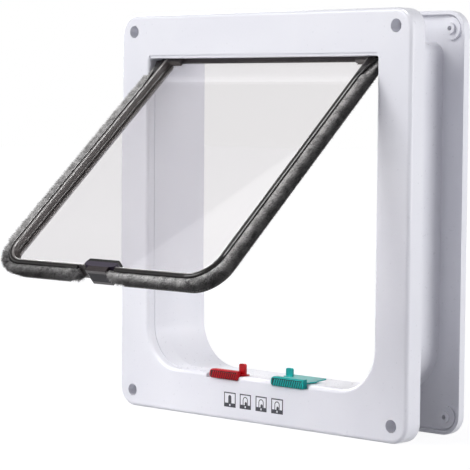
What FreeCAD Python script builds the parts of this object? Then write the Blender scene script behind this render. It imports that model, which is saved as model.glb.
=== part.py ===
import FreeCAD, Part
import Sketcher
import math
import os

# Cat flap for a door: a front frame with a short sleeve, a rear frame whose tunnel slides over that
# sleeve, a clear flap hung on a rod, and two locking sliders on the sill.
# X runs across the flap, Y into the door from the front face, Z up. The origin is the middle of the
# four screw holes on the front face. Lengths are in millimetres, angles in degrees.

SIZES = {
    # Outline shared by both frames
    "frame_width": 235.0,
    "frame_height": 250.0,
    "frame_corner": 12.0,
    "screw_side_inset": 11.4,
    "screw_end_inset": 10.35,
    "boss_radius": 6.7,
    # Front frame
    "front_depth": 12.4,
    "front_face": 2.5,
    "front_rim": 2.5,
    "front_round": 2.4,
    "head_recess_radius": 3.9,
    "head_recess_depth": 9.6,
    "screw_hole_radius": 2.2,
    # Opening and the sleeve behind it
    "face_side": 25.0,
    "face_head": 27.5,
    "face_sill": 27.5,
    "opening_corner": 26.0,
    "opening_top_corner": 1.5,
    "opening_round": 2.2,
    "top_step_height": 2.1,
    "top_step_depth": 0.8,
    "soffit_rise": 3.7,
    "sleeve_end": 17.8,
    "sleeve_side_wall": 3.2,
    "sleeve_top_wall": 2.1,
    "sleeve_sill_wall": 3.5,
    "groove_start": 5.4,
    "groove_width": 1.1,
    "groove_depth": 0.4,
    # Rear frame
    "door_gap": 37.1,
    "rear_depth": 6.0,
    "rear_face": 2.3,
    "rear_rim": 2.2,
    "rear_round": 1.4,
    "telescope_gap": 0.3,
    "telescope_lap": 6.8,
    "tunnel_wall": 3.3,
    "rear_boss_height": 1.6,
    "rear_spigot_radius": 3.4,
    "rear_spigot_height": 1.6,
    "pilot_radius": 1.4,
    # Hinge
    "hinge_y": 13.0,
    "hinge_drop": 1.0,
    "open_angle": 48.5,
    "rod_radius": 1.25,
    "rod_clearance": 0.08,
    "rod_seat": 1.7,
    "rod_end_gap": 0.4,
    "barrel_radius": 2.0,
    "barrel_side_gap": 0.6,
    # Flap, measured from the hinge axis with the flap hanging closed
    "flap_front": 6.0,
    "flap_back": 5.5,
    "flap_side_gap": 7.2,
    "flap_low_gap": 6.35,
    "flap_corner": 18.0,
    "rim_start": 4.6,
    "rim_top_corner": 1.5,
    "rear_lip_extra": 1.25,
    "front_lip": 1.6,
    "lip_round": 1.3,
    "ear_start": 20.0,
    "ear_reach": 4.6,
    "ear_top": 7.0,
    "rear_lip": 2.0,
    "lip_reach": 2.8,
    "low_lip_reach": 2.0,
    "web_wall": 1.5,
    "panel_front": 2.0,
    "panel_back": 0.6,
    "bevel": 2.4,
    "head_lap": 2.0,
    "lug_width": 11.0,
    "lug_drop": 6.4,
    "lug_front": 4.2,
    # Pile strips
    "backing": 0.6,
    "seat_gap": 0.05,
    "pile_gap": 0.1,
    "pile_side_gap": 1.3,
    "pile_sill_gap": 0.45,
    "pile_grip_gap": 0.35,
    "pile_slope": 3.5,
    "pile_tip": 1.2,
    "pile_top": 5.5,
    "pile_end_left": 17.6,
    "pile_end_right": 14.2,
    # Magnet holder on the flap
    "holder_half": 12.5,
    "holder_gap": 0.2,
    "holder_climb": 3.7,
    "holder_step": 1.75,
    "holder_drop": 2.2,
    "holder_slope": 0.9,
    "holder_cut": 1.5,
    "holder_cut_height": 2.5,
    "holder_foot_half": 8.1,
    "holder_front": 6.4,
    "holder_back": 4.2,
    "tongue_depth": 2.8,
    "magnet_half": 7.4,
    "magnet_front": 4.2,
    "magnet_back": 2.2,
    "magnet_height": 3.6,
    "front_notch_left": 17.2,
    "rear_notch_left": 29.0,
    "rear_notch_right": 15.2,
    # Sill magnet
    "sill_magnet_half": 10.0,
    "sill_magnet_lead": 4.6,
    "sill_magnet_width": 6.4,
    "sill_magnet_height": 2.0,
    # Sliders
    "grip_rise": 3.3,
    "grip_hang": 2.2,
    "grip_front": 1.5,
    "grip_lean": 0.7,
    "grip_bevel": 0.8,
    "grip_bevel_height": 0.9,
    "grip_back": 2.7,
    "grip_corner": 2.2,
    "notch_gap": 0.5,
    "slider_travel": 3.5,
    "slider_gap": 0.3,
    "rib_pitch": 1.75,
    "rib_width": 0.9,
    "rib_height": 0.7,
    "rib_tilt": 12.0,
    "rib_margin": 0.9,
    "rib_inset": 0.3,
    "plate_rise": 1.1,
    "plate_thickness": 0.9,
    "plate_margin": 1.0,
    "plate_lap": 0.5,
    "stem_front": 5.0,
    "stem_thickness": 1.6,
    "stem_length": 10.0,
    "hook_reach": 0.9,
    "hook_gap": 0.2,
    "hook_thickness": 1.2,
    "exit_grip_start": -36.7,
    "exit_grip_length": 23.1,
    "exit_tab_start": -16.0,
    "exit_tab_gap": 2.0,
    "exit_lock": 1.35,
    "entry_grip_start": 14.3,
    "entry_grip_length": 25.6,
    "entry_tab_start": 8.6,
    "entry_tab_gap": 0.6,
    "entry_lock": 0.9,
    "tab_width": 5.1,
    "tab_thickness": 1.6,
    "tab_round": 1.2,
    "tail_reach": 6.7,
    "tail_inset": 0.9,
    "tail_slit": 1.2,
    "tail_slit_start": 7.0,
    "tail_shoulder": 13.1,
    "tail_nick": 1.8,
    "tail_taper": 3.1,
}

# Lengths that follow from the sizes, each a sum over their names.
SUMS = {
    "screw_x": "frame_width / 2 - screw_side_inset",
    "screw_z": "frame_height / 2 - screw_end_inset",
    "opening_half": "frame_width / 2 - face_side",
    "opening_top": "frame_height / 2 - face_head",
    "sill_drop": "frame_height / 2 - face_sill",
    "soffit": "opening_top + soffit_rise",
    "sleeve_half": "opening_half + sleeve_side_wall",
    "sleeve_low": "sill_drop + sleeve_sill_wall",
    "sleeve_top": "soffit + sleeve_top_wall",
    "sleeve_corner": "opening_corner + sleeve_side_wall",
    "sleeve_top_corner": "opening_top_corner + sleeve_top_wall",
    "rear_start": "front_depth + door_gap",
    "rear_end": "rear_start + rear_depth",
    "rear_inside": "rear_end - rear_face",
    "tunnel_start": "sleeve_end - telescope_lap",
    "tunnel_clear": "telescope_gap + tunnel_wall",
    "hinge_z": "opening_top - hinge_drop",
    "flap_half": "opening_half - flap_side_gap",
    "flap_low": "sill_drop - flap_low_gap",
    "flap_drop": "hinge_z + flap_low",
    "lip_drop": "flap_drop + rear_lip_extra",
    "web_half": "flap_half - lip_reach",
    "web_drop": "flap_drop - low_lip_reach",
    "web_corner": "flap_corner - lip_reach",
    "inner_half": "web_half - web_wall",
    "inner_drop": "web_drop - web_wall",
    "inner_corner": "web_corner - web_wall",
    "lip_inside_front": "front_lip - flap_front",
    "lip_inside_back": "flap_back - rear_lip",
    "pile_half": "opening_half - pile_side_gap",
    "pile_drop": "hinge_z + sill_drop - pile_sill_gap",
    "pile_short_drop": "hinge_z + sill_drop - grip_rise - pile_grip_gap",
    "pile_short_half": "slider_travel + pile_grip_gap - exit_grip_start",
    "pile_short_right": "entry_grip_end + slider_travel + pile_grip_gap",
    "holder_top": "inner_drop - holder_climb",
    "tongue_floor": "holder_top + tongue_depth",
    "holder_shoulder": "flap_drop - holder_step",
    "holder_bottom": "flap_drop + holder_drop",
    "sill_magnet_front": "hinge_y - sill_magnet_lead",
    "sill_magnet_back": "sill_magnet_front + sill_magnet_width",
    "grip_top": "sill_drop - grip_rise",
    "grip_bottom": "sill_drop + grip_hang",
    "notch_drop": "grip_bottom + notch_gap",
    "notch_depth": "grip_back + notch_gap",
    "plate_top": "sill_drop - plate_rise",
    "plate_under": "plate_top + plate_thickness",
    "stem_back": "stem_front + stem_thickness",
    "hook_top": "sleeve_low + hook_gap",
    "hook_under": "hook_top + hook_thickness",
    "exit_grip_end": "exit_grip_start + exit_grip_length",
    "exit_middle": "exit_grip_start + exit_grip_length / 2",
    "exit_tab_end": "exit_tab_start + tab_width",
    "exit_tab_front": "hinge_y - flap_front - exit_tab_gap - tab_thickness",
    "exit_tab_top": "flap_low - exit_lock",
    "entry_grip_end": "entry_grip_start + entry_grip_length",
    "entry_middle": "entry_grip_start + entry_grip_length / 2",
    "entry_tab_end": "entry_tab_start + tab_width",
    "entry_tab_front": "hinge_y + flap_back + entry_tab_gap",
    "entry_tab_top": "flap_low + rear_lip_extra - entry_lock",
    "tail_end": "entry_tab_front + tab_thickness + tail_reach",
    "tail_right": "entry_grip_end - tail_inset",
}

doc = FreeCAD.newDocument("cat_flap")
sheet = doc.addObject("Spreadsheet::Sheet", "sizes")
for row, (alias, size) in enumerate(SIZES.items(), start=1):
    sheet.set("A%d" % row, alias)
    sheet.set("B%d" % row, str(size))
    sheet.setAlias("B%d" % row, alias)
doc.recompute()


def measure(text):
    """The number that a sum such as 'frame_width / 2 - front_rim' stands for."""
    total = 0.0
    term = None
    sign = 1.0
    action = "+"
    for token in text.split():
        if token in ("+", "-", "*", "/"):
            if token in ("+", "-") and term is not None:
                total += sign * term
                term = None
                sign = 1.0
            if token == "-":
                sign = -sign
            action = token
            continue
        if token in SUMS:
            number = measure(SUMS[token])
        else:
            number = SIZES[token] if token in SIZES else float(token)
        if term is None:
            term = number
        elif action == "*":
            term *= number
        else:
            term /= number
    return total + sign * (term or 0.0)


def bound(text):
    """The same sum as an expression that reads the sheet."""
    words = []
    for token in text.split():
        if token in SUMS:
            token = "( " + bound(SUMS[token]) + " )"
        elif token in SIZES:
            token = "sizes." + token
        words.append(token)
    return " ".join(words)


def negative(text):
    return "- 1 * ( " + bound(text) + " )"


def plane(body, role):
    return next(item for item in body.Origin.OriginFeatures if item.Role == role)


def new_body(name):
    body = doc.addObject("PartDesign::Body", name)
    body.Label = name
    return body


def sketch_on(body, name, role, offset="0"):
    """A sketch parallel to an origin plane. XZ sketches sit at the Y that offset gives."""
    sketch = body.newObject("Sketcher::SketchObject", name)
    sketch.AttachmentSupport = [(plane(body, role), "")]
    sketch.MapMode = "FlatFace"
    if offset != "0":
        expression = negative(offset) if role == "XZ_Plane" else bound(offset)
        sketch.setExpression("AttachmentOffset.Base.z", expression)
    return sketch


def fix(sketch, kind, geometry, point, text, side=1):
    """Hold one point's X or Y at a sum's distance from the sketch origin, on the side given."""
    value = side * measure(text)
    same = bound(text) if side > 0 else negative(text)
    other = negative(text) if side > 0 else bound(text)
    if value >= 0:
        index = sketch.addConstraint(Sketcher.Constraint(kind, -1, 1, geometry, point, value))
        sketch.setExpression("Constraints[%d]" % index, same)
    else:
        index = sketch.addConstraint(Sketcher.Constraint(kind, geometry, point, -1, 1, -value))
        sketch.setExpression("Constraints[%d]" % index, other)


def polygon(sketch, points, side=1):
    """A closed outline through corners given as (x, y) sums, mirrored in X where side is -1."""
    spots = [FreeCAD.Vector(side * measure(x), measure(y), 0) for x, y in points]
    lines = [sketch.addGeometry(Part.LineSegment(spots[i], spots[(i + 1) % len(spots)]), False)
             for i in range(len(spots))]
    for i, line in enumerate(lines):
        sketch.addConstraint(Sketcher.Constraint("Coincident", line, 2, lines[(i + 1) % len(lines)], 1))
    for line, (x, y) in zip(lines, points):
        fix(sketch, "DistanceX", line, 1, x, side)
        fix(sketch, "DistanceY", line, 1, y)


def circle(sketch, x, y, radius):
    spot = FreeCAD.Vector(measure(x), measure(y), 0)
    index = sketch.addGeometry(Part.Circle(spot, FreeCAD.Vector(0, 0, 1), measure(radius)), False)
    fix(sketch, "DistanceX", index, 3, x)
    fix(sketch, "DistanceY", index, 3, y)
    size = sketch.addConstraint(Sketcher.Constraint("Radius", index, measure(radius)))
    sketch.setExpression("Constraints[%d]" % size, bound(radius))


def circles_at_screws(sketch, radius):
    for across in ("screw_x", "- screw_x"):
        for up in ("screw_z", "- screw_z"):
            circle(sketch, across, up, radius)


def arch(sketch, half, low, high, low_radius, high_radius):
    """A rectangle about X = 0 with one radius at both lower corners and one at both upper ones."""
    w, z0, z1 = measure(half), measure(low), measure(high)
    r0, r1 = measure(low_radius), measure(high_radius)

    def at(x, z):
        return FreeCAD.Vector(x, z, 0)

    def arc(x, z, radius, start):
        turn = Part.Circle(at(x, z), FreeCAD.Vector(0, 0, 1), radius)
        return Part.ArcOfCircle(turn, math.radians(start), math.radians(start + 90))

    items = [
        Part.LineSegment(at(-w + r0, z0), at(w - r0, z0)),
        arc(w - r0, z0 + r0, r0, 270),
        Part.LineSegment(at(w, z0 + r0), at(w, z1 - r1)),
        arc(w - r1, z1 - r1, r1, 0),
        Part.LineSegment(at(w - r1, z1), at(-w + r1, z1)),
        arc(-w + r1, z1 - r1, r1, 90),
        Part.LineSegment(at(-w, z1 - r1), at(-w, z0 + r0)),
        arc(-w + r0, z0 + r0, r0, 180),
    ]
    base = [sketch.addGeometry(item, False) for item in items]
    for i in range(8):
        sketch.addConstraint(Sketcher.Constraint("Tangent", base[i], 2, base[(i + 1) % 8], 1))
    for i in (0, 4):
        sketch.addConstraint(Sketcher.Constraint("Horizontal", base[i]))
    for i in (2, 6):
        sketch.addConstraint(Sketcher.Constraint("Vertical", base[i]))
    sketch.addConstraint(Sketcher.Constraint("Equal", base[1], base[7]))
    sketch.addConstraint(Sketcher.Constraint("Equal", base[3], base[5]))
    for geometry, text in ((base[1], low_radius), (base[3], high_radius)):
        size = sketch.addConstraint(Sketcher.Constraint("Radius", geometry, measure(text)))
        sketch.setExpression("Constraints[%d]" % size, bound(text))
    fix(sketch, "DistanceX", base[2], 1, half)
    fix(sketch, "DistanceX", base[6], 1, half, side=-1)
    fix(sketch, "DistanceY", base[0], 1, low)
    fix(sketch, "DistanceY", base[4], 1, high)


def pad(body, sketch, length, reverse=True):
    feature = body.newObject("PartDesign::Pad", sketch.Name + "_pad")
    feature.Profile = sketch
    feature.setExpression("Length", bound(length))
    feature.Reversed = reverse
    return feature


def pocket(body, sketch, length, reverse=False):
    feature = body.newObject("PartDesign::Pocket", sketch.Name + "_pocket")
    feature.Profile = sketch
    feature.setExpression("Length", bound(length))
    feature.Reversed = reverse
    return feature


def box(body, name, low, high, cut=False):
    """A box between two corners, each three sums."""
    kind = "PartDesign::SubtractiveBox" if cut else "PartDesign::AdditiveBox"
    feature = body.newObject(kind, name)
    for axis, first, last in zip("xyz", low, high):
        feature.setExpression("Placement.Base." + axis, bound(first))
        size = {"x": "Length", "y": "Width", "z": "Height"}[axis]
        feature.setExpression(size, bound(last) + " - ( " + bound(first) + " )")
    return feature


def rod(body, name, start, radius, length, cut=False):
    """A round bar along +X from a point given as three sums."""
    kind = "PartDesign::SubtractiveCylinder" if cut else "PartDesign::AdditiveCylinder"
    feature = body.newObject(kind, name)
    turned = FreeCAD.Rotation(FreeCAD.Vector(0, 1, 0), 90)
    feature.Placement = FreeCAD.Placement(FreeCAD.Vector(0, 0, 0), turned)
    for axis, text in zip("xyz", start):
        feature.setExpression("Placement.Base." + axis, bound(text))
    feature.setExpression("Radius", bound(radius))
    feature.setExpression("Height", bound(length))
    return feature


def edges_of(feature, test):
    """Names of the edges whose box passes the test."""
    doc.recompute()
    names = []
    for number, edge in enumerate(feature.Shape.Edges, start=1):
        if test(edge.BoundBox, edge):
            names.append("Edge%d" % number)
    return names


def fillet(body, name, feature, test, radius):
    names = edges_of(feature, test)
    item = body.newObject("PartDesign::Fillet", name)
    item.Base = (feature, names)
    item.setExpression("Radius", bound(radius))
    body.Tip = item
    return item


def near(first, second, room=0.01):
    return abs(first - second) < room


def at_depth(bounds, text):
    """True for an edge that lies wholly in the plane Y = text."""
    return near(bounds.YMin, measure(text)) and near(bounds.YMax, measure(text))


def outside(bounds, half, height):
    """True for an edge that reaches past X = half or Z = height on any side."""
    return (max(abs(bounds.XMin), abs(bounds.XMax)) > measure(half)
            or max(abs(bounds.ZMin), abs(bounds.ZMax)) > measure(height))


# Front frame
front = new_body("front_frame")
outline = sketch_on(front, "front_outline", "XZ_Plane")
arch(outline, "frame_width / 2", "- frame_height / 2", "frame_height / 2", "frame_corner", "frame_corner")
pad(front, outline, "front_depth")
hollow = sketch_on(front, "front_hollow", "XZ_Plane", "front_face")
arch(hollow, "frame_width / 2 - front_rim", "- frame_height / 2 + front_rim",
     "frame_height / 2 - front_rim", "frame_corner - front_rim", "frame_corner - front_rim")
pocket(front, hollow, "front_depth - front_face")
sleeve = sketch_on(front, "sleeve_outline", "XZ_Plane", "front_face / 2")
arch(sleeve, "sleeve_half", "- sleeve_low", "sleeve_top", "sleeve_corner", "sleeve_top_corner")
pad(front, sleeve, "sleeve_end - front_face / 2")
bosses = sketch_on(front, "front_bosses", "XZ_Plane", "front_face / 2")
circles_at_screws(bosses, "boss_radius")
pad(front, bosses, "front_depth - front_face / 2")
window = sketch_on(front, "front_window", "XZ_Plane")
arch(window, "opening_half", "- sill_drop", "opening_top", "opening_corner", "opening_top_corner")
pocket(front, window, "front_face")
passage = sketch_on(front, "sleeve_passage", "XZ_Plane", "front_face")
arch(passage, "opening_half", "- sill_drop", "soffit", "opening_corner", "opening_top_corner")
pocket(front, passage, "sleeve_end - front_face")

# The opening's side and lower edges are rounded at the front, and so is the frame's outer edge.
last = fillet(front, "opening_soft_edge", front.Tip,
              lambda b, e: at_depth(b, "0") and b.ZMax < measure("opening_top - 1")
              and abs(b.XMax + b.XMin) / 2 < measure("opening_half + 0.01")
              and b.ZMin > measure("- sill_drop - 0.01"), "opening_round")
last = fillet(front, "outer_soft_edge", last,
              lambda b, e: at_depth(b, "0") and (outside(b, "frame_width / 2 - frame_corner + 1",
                                                         "frame_height / 2 - 1")), "front_round")

# A shallow step over the opening, a sealing groove round the sleeve, recesses for the screw heads.
box(front, "top_step", ("- opening_half", "- 1", "opening_top - 1"),
    ("opening_half", "top_step_depth", "opening_top + top_step_height"), cut=True)
groove = sketch_on(front, "seal_groove", "XZ_Plane", "groove_start")
arch(groove, "opening_half + groove_depth", "- sill_drop - groove_depth", "opening_top",
     "opening_corner + groove_depth", "opening_top_corner")
pocket(front, groove, "groove_width")
heads = sketch_on(front, "head_recesses", "XZ_Plane")
circles_at_screws(heads, "head_recess_radius")
pocket(front, heads, "head_recess_depth")
holes = sketch_on(front, "screw_holes", "XZ_Plane")
circles_at_screws(holes, "screw_hole_radius")
pocket(front, holes, "front_depth + 1")

# Blind sockets for the hinge rod and the pocket that holds the sill magnet from below.
rod(front, "rod_sockets", ("- opening_half - rod_seat", "hinge_y", "hinge_z"),
    "rod_radius + rod_clearance", "2 * opening_half + 2 * rod_seat", cut=True)
box(front, "magnet_pocket",
    ("- sill_magnet_half - seat_gap", "sill_magnet_front - seat_gap", "- sleeve_low - 1"),
    ("sill_magnet_half + seat_gap", "sill_magnet_back + seat_gap",
     "- sleeve_low + sill_magnet_height + seat_gap"), cut=True)

# Each slider has a notch in the sill's front edge, a slot for its stem and a recess for its plate.
box(front, "exit_notch", ("exit_grip_start - slider_travel - slider_gap", "- 1", "- notch_drop"),
    ("exit_grip_end + slider_gap", "notch_depth", "- sill_drop + 1"), cut=True)
box(front, "exit_slot",
    ("exit_middle - stem_length / 2 - slider_travel - slider_gap", "stem_front - slider_gap",
     "- sleeve_low - 1"),
    ("exit_middle + stem_length / 2 + slider_gap", "stem_back + slider_gap", "- sill_drop + 1"), cut=True)
box(front, "exit_plate_recess",
    ("exit_grip_start - slider_travel - slider_gap", "front_face / 2", "- plate_under - slider_gap"),
    ("exit_tab_end + slider_gap", "stem_back + hook_reach + slider_gap", "- sill_drop + 1"), cut=True)
box(front, "entry_notch", ("entry_grip_start - slider_gap", "- 1", "- notch_drop"),
    ("entry_grip_end + slider_travel + slider_gap", "notch_depth", "- sill_drop + 1"), cut=True)
box(front, "entry_slot",
    ("entry_middle - stem_length / 2 - slider_gap", "stem_front - slider_gap", "- sleeve_low - 1"),
    ("entry_middle + stem_length / 2 + slider_travel + slider_gap", "stem_back + slider_gap",
     "- sill_drop + 1"), cut=True)
box(front, "entry_plate_recess",
    ("entry_tab_start - plate_margin - slider_gap", "front_face / 2", "- plate_under - slider_gap"),
    ("entry_grip_end + slider_travel + slider_gap", "sleeve_end + 1", "- sill_drop + 1"), cut=True)

# Rear frame: a shallow tray open towards the door, with the tunnel that slides over the sleeve.
rear = new_body("rear_frame")
outline = sketch_on(rear, "rear_outline", "XZ_Plane", "rear_start")
arch(outline, "frame_width / 2", "- frame_height / 2", "frame_height / 2", "frame_corner", "frame_corner")
pad(rear, outline, "rear_depth")
hollow = sketch_on(rear, "rear_hollow", "XZ_Plane", "rear_start")
arch(hollow, "frame_width / 2 - rear_rim", "- frame_height / 2 + rear_rim",
     "frame_height / 2 - rear_rim", "frame_corner - rear_rim", "frame_corner - rear_rim")
pocket(rear, hollow, "rear_depth - rear_face")
tunnel = sketch_on(rear, "tunnel_outline", "XZ_Plane", "tunnel_start")
arch(tunnel, "sleeve_half + tunnel_clear", "- sleeve_low - tunnel_clear", "sleeve_top + tunnel_clear",
     "sleeve_corner + tunnel_clear", "sleeve_top_corner + tunnel_clear")
pad(rear, tunnel, "rear_end - rear_face / 2 - tunnel_start")
bosses = sketch_on(rear, "rear_bosses", "XZ_Plane", "rear_end - rear_face / 2")
circles_at_screws(bosses, "boss_radius")
pad(rear, bosses, "rear_boss_height + rear_face / 2", reverse=False)
spigots = sketch_on(rear, "rear_spigots", "XZ_Plane", "rear_end - rear_face / 2")
circles_at_screws(spigots, "rear_spigot_radius")
pad(rear, spigots, "rear_boss_height + rear_spigot_height + rear_face / 2", reverse=False)
bore = sketch_on(rear, "tunnel_bore", "XZ_Plane", "tunnel_start")
arch(bore, "sleeve_half + telescope_gap", "- sleeve_low - telescope_gap", "sleeve_top + telescope_gap",
     "sleeve_corner + telescope_gap", "sleeve_top_corner + telescope_gap")
pocket(rear, bore, "rear_end - tunnel_start + 1")
last = fillet(rear, "rear_soft_edge", rear.Tip,
              lambda b, e: at_depth(b, "rear_end") and outside(b, "frame_width / 2 - 1",
                                                               "frame_height / 2 - 1"), "rear_round")
pilots = sketch_on(rear, "pilot_holes", "XZ_Plane", "rear_inside - rear_boss_height - rear_spigot_height")
circles_at_screws(pilots, "pilot_radius")
pocket(rear, pilots, "rear_boss_height + rear_spigot_height + rear_face / 2")


def hang(body):
    """Put a body drawn about the hinge axis, hanging closed, at the flap's rest angle."""
    body.Placement = FreeCAD.Placement(
        FreeCAD.Vector(0, measure("hinge_y"), measure("hinge_z")),
        FreeCAD.Rotation(FreeCAD.Vector(-1, 0, 0), SIZES["open_angle"]))
    body.setExpression("Placement.Base.y", bound("hinge_y"))
    body.setExpression("Placement.Base.z", bound("hinge_z"))
    body.setExpression("Placement.Rotation.Angle", "sizes.open_angle * 1 deg")


# Flap: one clear moulding, a panel inside a rim whose outer channel holds the pile strips.
flap = new_body("flap_panel")
rim = sketch_on(flap, "rim_outline", "XZ_Plane", "- flap_front")
arch(rim, "flap_half", "- flap_drop", "- rim_start", "flap_corner", "rim_top_corner")
pad(flap, rim, "flap_front + flap_back - rear_lip / 2")
lip = sketch_on(flap, "rear_lip_outline", "XZ_Plane", "lip_inside_back")
arch(lip, "flap_half", "- lip_drop", "- rim_start", "flap_corner", "rim_top_corner")
pad(flap, lip, "rear_lip")
inner = sketch_on(flap, "front_recess", "XZ_Plane", "- flap_front")
arch(inner, "inner_half", "- inner_drop", "- barrel_radius", "inner_corner", "rim_top_corner")
pocket(flap, inner, "flap_front - panel_front")
inner = sketch_on(flap, "rear_recess", "XZ_Plane", "panel_back")
arch(inner, "inner_half", "- inner_drop", "- barrel_radius", "inner_corner", "rim_top_corner")
pocket(flap, inner, "flap_back - panel_back")
bevel = sketch_on(flap, "rear_bevel", "XZ_Plane", "flap_back")
arch(bevel, "inner_half + bevel", "- inner_drop - bevel", "- barrel_radius + bevel",
     "inner_corner + bevel", "rim_top_corner + bevel")
bevelled = pocket(flap, bevel, "bevel", reverse=True)
bevelled.TaperAngle = -45

# The front lip widens to an ear at the top of each side, and its edges are rounded like a bead.
for side, word in ((-1, "left"), (1, "right")):
    ear = sketch_on(flap, word + "_ear", "XZ_Plane", "- flap_front")
    polygon(ear, [("flap_half - lip_reach", "- ear_start"), ("flap_half", "- ear_start"),
                  ("flap_half + ear_reach / 6", "- ear_top - ear_reach * 2"),
                  ("flap_half + ear_reach / 2", "- ear_top - ear_reach"),
                  ("flap_half + ear_reach", "- ear_top"),
                  ("flap_half - lip_reach", "- rim_start - rim_top_corner")], side)
    pad(flap, ear, "front_lip")
lip_front = - measure("flap_front")
fillet(flap, "lip_soft_edges", flap.Tip,
       lambda b, e: near(b.YMin, lip_front) and near(b.YMax, lip_front)
       and b.ZMin < - measure("ear_start + 1"), "lip_round")
channel = sketch_on(flap, "pile_channel", "XZ_Plane", "lip_inside_front")
polygon(channel, [("- flap_half - 5", "- flap_drop - 5"), ("flap_half + 5", "- flap_drop - 5"),
                  ("flap_half + 5", "0"), ("- flap_half - 5", "0")])
arch(channel, "web_half", "- web_drop", "- 1", "web_corner", "0.5")
pocket(flap, channel, "lip_inside_back - lip_inside_front")

# Notches in the two lips for the magnet holder and the slider tabs.
box(flap, "holder_gap", ("- holder_half - holder_gap", "- flap_front - 1", "- lip_drop - 1"),
    ("holder_half + holder_gap", "flap_back + 1", "- tongue_floor + seat_gap"), cut=True)
box(flap, "front_lip_notch", ("- front_notch_left", "- flap_front - 1", "- lip_drop - 1"),
    ("- holder_half", "lip_inside_front + 0.1", "- web_drop"), cut=True)
box(flap, "rear_lip_notch_left", ("- rear_notch_left", "lip_inside_back - 0.1", "- lip_drop - 1"),
    ("- holder_half", "flap_back + 1", "- web_drop"), cut=True)
box(flap, "rear_lip_notch_right", ("holder_half", "lip_inside_back - 0.1", "- lip_drop - 1"),
    ("rear_notch_right", "flap_back + 1", "- web_drop"), cut=True)

# Hinge barrel with a head strip down to the panel, a lug at each end, and the bore for the rod.
box(flap, "head_strip", ("- web_half", "- panel_front", "- rim_start - head_lap"),
    ("web_half", "panel_back", "0"))
rod(flap, "barrel", ("- opening_half + barrel_side_gap", "0", "0"), "barrel_radius",
    "2 * opening_half - 2 * barrel_side_gap")
box(flap, "left_lug", ("- web_half", "- lug_front", "- lug_drop"),
    ("- web_half + lug_width", "panel_back", "0"))
box(flap, "right_lug", ("web_half - lug_width", "- lug_front", "- lug_drop"),
    ("web_half", "panel_back", "0"))
rod(flap, "rod_bore", ("- opening_half", "0", "0"), "rod_radius", "2 * opening_half", cut=True)
hang(flap)

# Hinge rod through the barrel into both sockets.
axle = new_body("hinge_rod")
rod(axle, "axle", ("- opening_half - rod_seat + rod_end_gap", "0", "0"), "rod_radius",
    "2 * opening_half + 2 * rod_seat - 2 * rod_end_gap")
hang(axle)


# Pile strips: a woven backing glued in the channel and the standing pile on it, left and right.
def strip(name, side, end, profile):
    """Sweep a profile of (distance from the middle, depth) sums down the side and along the bottom."""
    body = new_body(name)
    path = sketch_on(body, name + "_path", "XZ_Plane")
    half, low, turn = measure("web_half"), measure("web_drop"), measure("web_corner")
    top = FreeCAD.Vector(side * half, - measure("pile_top"), 0)
    knee = FreeCAD.Vector(side * half, - low + turn, 0)
    foot = FreeCAD.Vector(side * (half - turn), - low, 0)
    stop = FreeCAD.Vector(side * measure(end), - low, 0)
    centre = FreeCAD.Vector(side * (half - turn), - low + turn, 0)
    bend = Part.Circle(centre, FreeCAD.Vector(0, 0, 1), turn)
    start = 180 if side < 0 else 270
    down = path.addGeometry(Part.LineSegment(top, knee), False)
    arc = path.addGeometry(Part.ArcOfCircle(bend, math.radians(start), math.radians(start + 90)), False)
    along = path.addGeometry(Part.LineSegment(foot, stop), False)
    first, second = (1, 2) if side < 0 else (2, 1)
    path.addConstraint(Sketcher.Constraint("Tangent", down, 2, arc, first))
    path.addConstraint(Sketcher.Constraint("Tangent", arc, second, along, 1))
    path.addConstraint(Sketcher.Constraint("Vertical", down))
    path.addConstraint(Sketcher.Constraint("Horizontal", along))
    size = path.addConstraint(Sketcher.Constraint("Radius", arc, turn))
    path.setExpression("Constraints[%d]" % size, bound("web_corner"))
    fix(path, "DistanceX", down, 1, "web_half", side)
    fix(path, "DistanceY", down, 1, "- pile_top")
    fix(path, "DistanceX", along, 2, end, side)
    fix(path, "DistanceY", along, 2, "- web_drop")
    section = sketch_on(body, name + "_section", "XY_Plane", "- pile_top")
    polygon(section, profile, side)
    sweep = body.newObject("PartDesign::AdditivePipe", name + "_sweep")
    sweep.Profile = section
    sweep.Spine = (path, ["Edge1", "Edge2", "Edge3"])
    return body


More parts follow.
